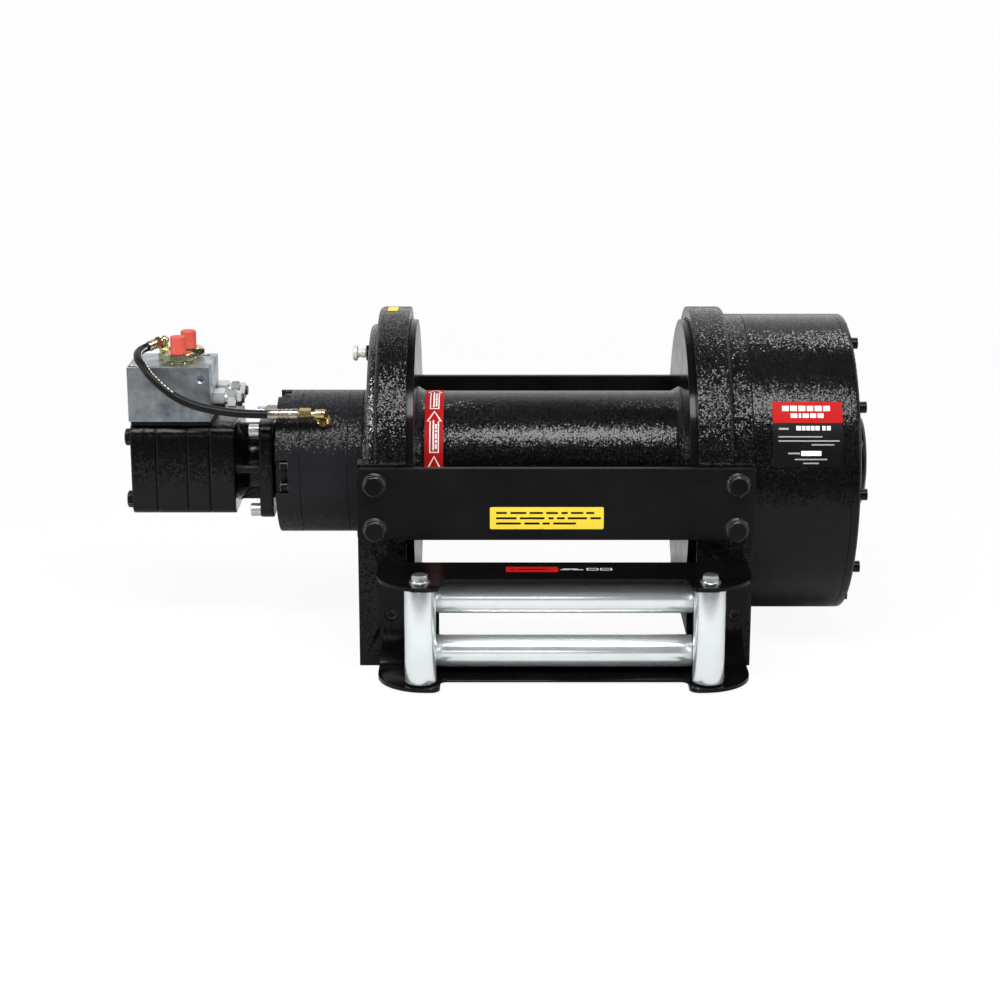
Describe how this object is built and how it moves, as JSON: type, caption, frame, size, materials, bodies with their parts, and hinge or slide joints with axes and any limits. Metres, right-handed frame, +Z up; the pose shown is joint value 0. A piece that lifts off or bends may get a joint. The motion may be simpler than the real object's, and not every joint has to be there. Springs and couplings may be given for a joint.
{
  "type": "hydraulic winch",
  "caption": "Hydraulic winch: smooth drum between cast supports, gear case, brake, motor with manifold and a roller fairlead.",
  "frame": {"origin": "centre of the foot bolt pattern, on the plane of the feet, under the middle of the drum", "axes": "+X along the drum axis from the motor to the gear case, +Y to the rear, away from the fairlead, +Z up"},
  "size_m": [1.2, 0.6655, 0.523],
  "materials": {
    "cast_black": "gloss black paint over a rough casting",
    "plate_black": "satin black powder coat",
    "fairlead_black": "gloss black powder coat",
    "bolt_black": "black oxide",
    "bronze": "turned bronze",
    "brake_black": "satin black paint",
    "disc_steel": "ground steel",
    "friction": "sintered lining",
    "machined_steel": "machined steel",
    "motor_black": "gloss black paint over a casting",
    "bright_zinc": "bright zinc plate",
    "spacer_black": "black paint",
    "manifold_steel": "clear zinc plate on milled steel",
    "yellow_zinc": "yellow zinc plate",
    "red_plastic": "soft moulded plastic",
    "hose_rubber": "smooth rubber",
    "brass": "turned brass",
    "case_black": "satin black paint",
    "label_yellow": "plain printed foil",
    "drum_black": "semi gloss black paint",
    "flange_black": "gloss black paint on a turned face",
    "clamp_zinc": "zinc plate",
    "roller_zinc": "bright zinc plate on tube",
    "knob_white": "turned and plated"
  },
  "bodies": {
    "winch_frame": {"left_support": "cast_black", "right_support": "cast_black", "front_tie_plate": "plate_black", "rear_tie_plate": "plate_black", "tie_bolts": "bolt_black", "drum_bushes": "bronze", "bearing_cover": "cast_black", "cap_screws": "bolt_black", "brake_adapter": "brake_black", "brake_housing": "brake_black", "brake_end_housing": "brake_black", "brake_separators": "disc_steel", "brake_springs": "disc_steel", "shaft_bearings": "disc_steel", "motor_casting": "motor_black", "motor_flange_bolts": "bright_zinc", "motor_mid_plate": "motor_black", "motor_gear_housing": "motor_black", "motor_end_cover": "motor_black", "motor_bolts": "bolt_black", "manifold_spacer": "spacer_black", "manifold_block": "manifold_steel", "relief_cartridge": "bright_zinc", "port_fittings": "yellow_zinc", "port_caps": "red_plastic", "hose_fitting_top": "yellow_zinc", "brake_hose": "hose_rubber", "hose_fitting_brake": "brass", "gear_case_ring": "cast_black", "ring_gear_housing": "case_black", "gear_cover": "case_black", "hub_cap": "case_black", "fairlead_frame": "fairlead_black", "roller_bolts": "bright_zinc", "roller_pins": "bright_zinc", "label_plates": "label_yellow", "plunger_body": "bolt_black", "plunger_spring": "disc_steel"},
    "drum": {"drum_barrel": "drum_black", "drum_flange_left": "flange_black", "drum_flange_right": "flange_black", "rope_clamp": "clamp_zinc", "carrier_2": "machined_steel"},
    "input_shaft": {"drive_shaft": "machined_steel", "friction_discs": "friction", "motor_shaft": "machined_steel"},
    "first_carrier": {"carrier_1": "machined_steel"},
    "planet_1a": {"planet_1a": "machined_steel"},
    "planet_1b": {"planet_1b": "machined_steel"},
    "planet_1c": {"planet_1c": "machined_steel"},
    "planet_2a": {"planet_2a": "machined_steel"},
    "planet_2b": {"planet_2b": "machined_steel"},
    "planet_2c": {"planet_2c": "machined_steel"},
    "motor_idler": {"motor_idler_gear": "machined_steel"},
    "roller_left": {"roller_left": "roller_zinc"},
    "roller_right": {"roller_right": "roller_zinc"},
    "roller_upper": {"roller_upper": "roller_zinc"},
    "roller_lower": {"roller_lower": "roller_zinc"},
    "brake_piston": {"brake_piston": "machined_steel"},
    "drag_plunger": {"drag_plunger": "knob_white"}
  },
  "joints": [
    {"name": "drum_spin", "type": "hinge", "parent": "winch_frame", "child": "drum", "pos_m": [0, 0, 0.27], "axis": [1, 0, 0], "continuous": true},
    {"name": "input_shaft_spin", "type": "hinge", "parent": "winch_frame", "child": "input_shaft", "pos_m": [0, 0, 0.27], "axis": [1, 0, 0], "continuous": true},
    {"name": "first_carrier_spin", "type": "hinge", "parent": "winch_frame", "child": "first_carrier", "pos_m": [0, 0, 0.27], "axis": [1, 0, 0], "continuous": true},
    {"name": "planet_1a_spin", "type": "hinge", "parent": "first_carrier", "child": "planet_1a", "pos_m": [0, 0, 0.39375], "axis": [1, 0, 0], "continuous": true},
    {"name": "planet_2a_spin", "type": "hinge", "parent": "drum", "child": "planet_2a", "pos_m": [0, 0, 0.39375], "axis": [1, 0, 0], "continuous": true},
    {"name": "planet_1b_spin", "type": "hinge", "parent": "first_carrier", "child": "planet_1b", "pos_m": [0, -0.10717, 0.20813], "axis": [1, 0, 0], "continuous": true},
    {"name": "planet_2b_spin", "type": "hinge", "parent": "drum", "child": "planet_2b", "pos_m": [0, -0.10717, 0.20813], "axis": [1, 0, 0], "continuous": true},
    {"name": "planet_1c_spin", "type": "hinge", "parent": "first_carrier", "child": "planet_1c", "pos_m": [0, 0.10717, 0.20813], "axis": [1, 0, 0], "continuous": true},
    {"name": "planet_2c_spin", "type": "hinge", "parent": "drum", "child": "planet_2c", "pos_m": [0, 0.10717, 0.20813], "axis": [1, 0, 0], "continuous": true},
    {"name": "motor_idler_spin", "type": "hinge", "parent": "winch_frame", "child": "motor_idler", "pos_m": [0, 0.049, 0.27], "axis": [1, 0, 0], "continuous": true},
    {"name": "roller_left_spin", "type": "hinge", "parent": "winch_frame", "child": "roller_left", "pos_m": [-0.201, -0.356, 0.0865], "axis": [0, 0, 1], "continuous": true},
    {"name": "roller_right_spin", "type": "hinge", "parent": "winch_frame", "child": "roller_right", "pos_m": [0.237, -0.356, 0.0865], "axis": [0, 0, 1], "continuous": true},
    {"name": "roller_upper_spin", "type": "hinge", "parent": "winch_frame", "child": "roller_upper", "pos_m": [0.018, -0.303, 0.13], "axis": [1, 0, 0], "continuous": true},
    {"name": "roller_lower_spin", "type": "hinge", "parent": "winch_frame", "child": "roller_lower", "pos_m": [0.018, -0.303, 0.043], "axis": [1, 0, 0], "continuous": true},
    {"name": "brake_release", "type": "slide", "parent": "winch_frame", "child": "brake_piston", "axis": [-1, 0, 0], "range_m": [0, 0.002], "stiffness_N_per_m": 20000, "springref_m": -0.004, "deforming": ["brake_springs"]},
    {"name": "plunger_pull", "type": "slide", "parent": "winch_frame", "child": "drag_plunger", "axis": [-1, 0, 0], "range_m": [0, 0.006], "stiffness_N_per_m": 800, "springref_m": -0.004, "deforming": ["plunger_spring"]}
  ],
  "couplings": [
    {"joint": "input_shaft_spin", "follows": "drum_spin", "ratio": 25},
    {"joint": "first_carrier_spin", "follows": "drum_spin", "ratio": 5},
    {"joint": "motor_idler_spin", "follows": "drum_spin", "ratio": -25},
    {"joint": "planet_1a_spin", "follows": "drum_spin", "ratio": -13.333},
    {"joint": "planet_2a_spin", "follows": "drum_spin", "ratio": -2.6667},
    {"joint": "planet_1b_spin", "follows": "drum_spin", "ratio": -13.333},
    {"joint": "planet_2b_spin", "follows": "drum_spin", "ratio": -2.6667},
    {"joint": "planet_1c_spin", "follows": "drum_spin", "ratio": -13.333},
    {"joint": "planet_2c_spin", "follows": "drum_spin", "ratio": -2.6667}
  ]
}
